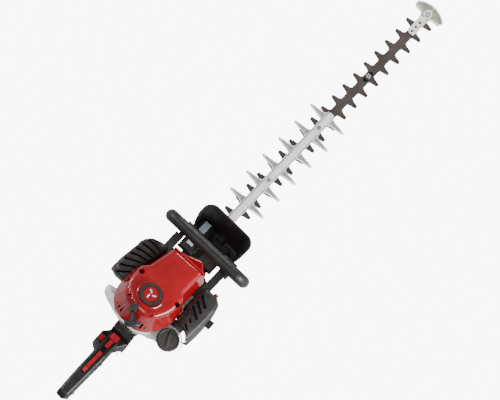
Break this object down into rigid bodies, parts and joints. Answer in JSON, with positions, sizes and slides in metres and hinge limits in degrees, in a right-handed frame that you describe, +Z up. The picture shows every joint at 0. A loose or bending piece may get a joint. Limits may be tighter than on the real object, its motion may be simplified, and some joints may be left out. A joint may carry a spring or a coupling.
{
  "type": "petrol hedge trimmer",
  "caption": "Double-sided petrol hedge trimmer: two opposed reciprocating blades under a toothed guard bar, engine with recoil starter, front loop handle and turning rear handle.",
  "frame": {"origin": "on the resting plane, straight below the axis of the crank gear", "axes": "+X forward along the blade to its tip, +Y to the machine's left, +Z up"},
  "size_m": [1.069, 0.207, 0.209],
  "materials": {
    "red_cover": "polished",
    "black_plastic": "fine grain",
    "grey_plastic": "fine grain",
    "handle_plastic": "fine grain",
    "red_plastic": "satin",
    "tank_plastic": "translucent satin",
    "handle_rubber": "soft matte",
    "boot_rubber": "matte",
    "case_paint": "black paint over casting",
    "cast_alloy": "as cast",
    "silver_bar": "satin anodised",
    "tip_alloy": "die cast",
    "blade_steel": "blackened, ground edges",
    "bright_steel": "machined",
    "dark_steel": "blackened",
    "muffler_steel": "heat tinted",
    "filter_foam": "open foam",
    "label_film": "plain film"
  },
  "bodies": {
    "machine": {"air_cleaner_base": "black_plastic", "air_filter": "filter_foam", "badge_ring": "black_plastic", "ball_bearings": "bright_steel", "blade_bolts": "bright_steel", "blade_collars": "bright_steel", "blade_nuts": "bright_steel", "cap_tether": "tank_plastic", "carburettor": "cast_alloy", "clutch_case": "cast_alloy", "cover_screws": "dark_steel", "crankcase": "cast_alloy", "cylinder": "cast_alloy", "fan_housing": "black_plastic", "front_handle": "handle_rubber", "fuel_tank": "tank_plastic", "gearcase_lower": "case_paint", "gearcase_screws": "dark_steel", "gearcase_upper": "case_paint", "guide_bar": "dark_steel", "hand_guard": "black_plastic", "handle_brackets": "case_paint", "ignition_coil": "black_plastic", "intake_insulator": "black_plastic", "label_plates": "label_film", "muffler": "muffler_steel", "muffler_cover": "black_plastic", "plug_cap": "boot_rubber", "rear_bracket": "case_paint", "recoil_cover": "red_cover", "recoil_spring": "bright_steel", "rope_guide": "black_plastic", "spark_plug": "bright_steel", "tip_protector": "tip_alloy", "tooth_guard_bar": "silver_bar"},
    "upper_blade": {"upper_blade": "blade_steel"},
    "lower_blade": {"lower_blade": "blade_steel"},
    "crank": {"crank_gear": "bright_steel"},
    "clutch_output": {"clutch_drum": "bright_steel"},
    "engine_rotor": {"crankshaft": "bright_steel", "flywheel_fan": "cast_alloy", "clutch_shoes": "bright_steel", "clutch_spring": "bright_steel"},
    "piston": {"piston": "cast_alloy"},
    "recoil_reel": {"recoil_pulley": "black_plastic"},
    "starter_pull": {"starter_handle": "black_plastic"},
    "fuel_cap": {"fuel_cap": "black_plastic"},
    "cleaner_cover": {"air_cleaner_cover": "grey_plastic"},
    "cleaner_knob": {"cover_knob": "black_plastic"},
    "choke": {"choke_knob": "red_plastic"},
    "primer": {"primer_bulb": "boot_rubber"},
    "throttle_arm": {"throttle_arm": "bright_steel"},
    "rear_handle": {"rear_handle_left": "handle_plastic", "rear_handle_right": "handle_plastic", "handle_screws": "dark_steel", "lever_pins": "bright_steel"},
    "trigger": {"throttle_trigger": "black_plastic"},
    "lockout": {"lockout_lever": "red_plastic"},
    "stop_switch": {"stop_switch": "red_plastic"},
    "handle_lock": {"handle_lock_lever": "red_plastic"}
  },
  "joints": [
    {"name": "upper_blade_slide", "type": "slide", "parent": "machine", "child": "upper_blade", "axis": [1, 0, 0], "range_m": [-0.008, 0.008]},
    {"name": "lower_blade_slide", "type": "slide", "parent": "machine", "child": "lower_blade", "axis": [1, 0, 0], "range_m": [-0.008, 0.008]},
    {"name": "crank_gear_turn", "type": "hinge", "parent": "machine", "child": "crank", "pos_m": [0, 0, 0.016], "axis": [0, 0, 1], "range_deg": [-90, 90]},
    {"name": "clutch_drum_turn", "type": "hinge", "parent": "machine", "child": "clutch_output", "pos_m": [-0.054, 0, 0.016], "axis": [0, 0, 1], "range_deg": [-450, 450]},
    {"name": "crankshaft_turn", "type": "hinge", "parent": "machine", "child": "engine_rotor", "pos_m": [-0.054, 0, 0.111], "axis": [0, 0, 1], "continuous": true},
    {"name": "piston_slide", "type": "slide", "parent": "machine", "child": "piston", "axis": [1, 0, 0], "range_m": [-0.014, 0.014]},
    {"name": "starter_pull_out", "type": "slide", "parent": "machine", "child": "starter_pull", "axis": [-0.8, -0.6, 0], "range_m": [0, 0.6], "stiffness_N_per_m": 8, "springref_m": -0.3},
    {"name": "recoil_pulley_turn", "type": "hinge", "parent": "machine", "child": "recoil_reel", "pos_m": [-0.054, 0, 0.176], "axis": [0, 0, 1], "range_deg": [-1, 1639.02]},
    {"name": "fuel_cap_lift", "type": "slide", "parent": "machine", "child": "fuel_cap", "axis": [0, 0, 1], "range_m": [0, 0.05]},
    {"name": "cleaner_cover_off", "type": "slide", "parent": "machine", "child": "cleaner_cover", "axis": [0, -1, 0], "range_m": [0, 0.07]},
    {"name": "cleaner_knob_turn", "type": "hinge", "parent": "cleaner_cover", "child": "cleaner_knob", "pos_m": [0.019, -0.105, 0.099], "axis": [0, 1, 0], "range_deg": [0, 1080]},
    {"name": "choke_pull", "type": "slide", "parent": "machine", "child": "choke", "axis": [1, 0, 0], "range_m": [0, 0.008]},
    {"name": "primer_press", "type": "slide", "parent": "machine", "child": "primer", "axis": [-1, 0, 0], "range_m": [0, 0.0035], "stiffness_N_per_m": 300, "springref_m": -0.001},
    {"name": "throttle_arm_turn", "type": "hinge", "parent": "machine", "child": "throttle_arm", "pos_m": [-0.002, -0.051, 0.125], "axis": [0, 0, 1], "range_deg": [-43, 1]},
    {"name": "rear_handle_turn", "type": "hinge", "parent": "machine", "child": "rear_handle", "pos_m": [-0.12, 0, 0.06], "axis": [1, 0, 0], "range_deg": [-90, 90]},
    {"name": "trigger_press", "type": "hinge", "parent": "rear_handle", "child": "trigger", "pos_m": [-0.164, 0, 0.086], "axis": [0, 1, 0], "range_deg": [0, 14], "stiffness_Nm_per_rad": 0.4, "springref_deg": -5.73},
    {"name": "lockout_press", "type": "hinge", "parent": "rear_handle", "child": "lockout", "pos_m": [-0.167, 0, 0.102], "axis": [0, 1, 0], "range_deg": [-5, 0], "stiffness_Nm_per_rad": 0.4, "springref_deg": 5.73},
    {"name": "stop_switch_slide", "type": "slide", "parent": "rear_handle", "child": "stop_switch", "axis": [1, 0, 0], "range_m": [0, 0.005]},
    {"name": "handle_lock_pull", "type": "slide", "parent": "rear_handle", "child": "handle_lock", "axis": [-1, 0, 0], "range_m": [0, 0.006], "stiffness_N_per_m": 250, "springref_m": -0.002}
  ],
  "couplings": [
    {"joint": "lower_blade_slide", "follows": "upper_blade_slide", "ratio": -1},
    {"joint": "crank_gear_turn", "follows": "upper_blade_slide", "rad_per_m": -196.35},
    {"joint": "clutch_drum_turn", "follows": "upper_blade_slide", "rad_per_m": 981.75},
    {"joint": "recoil_pulley_turn", "follows": "starter_pull_out", "rad_per_m": 47.619},
    {"joint": "throttle_arm_turn", "follows": "trigger_press", "ratio": -3}
  ]
}
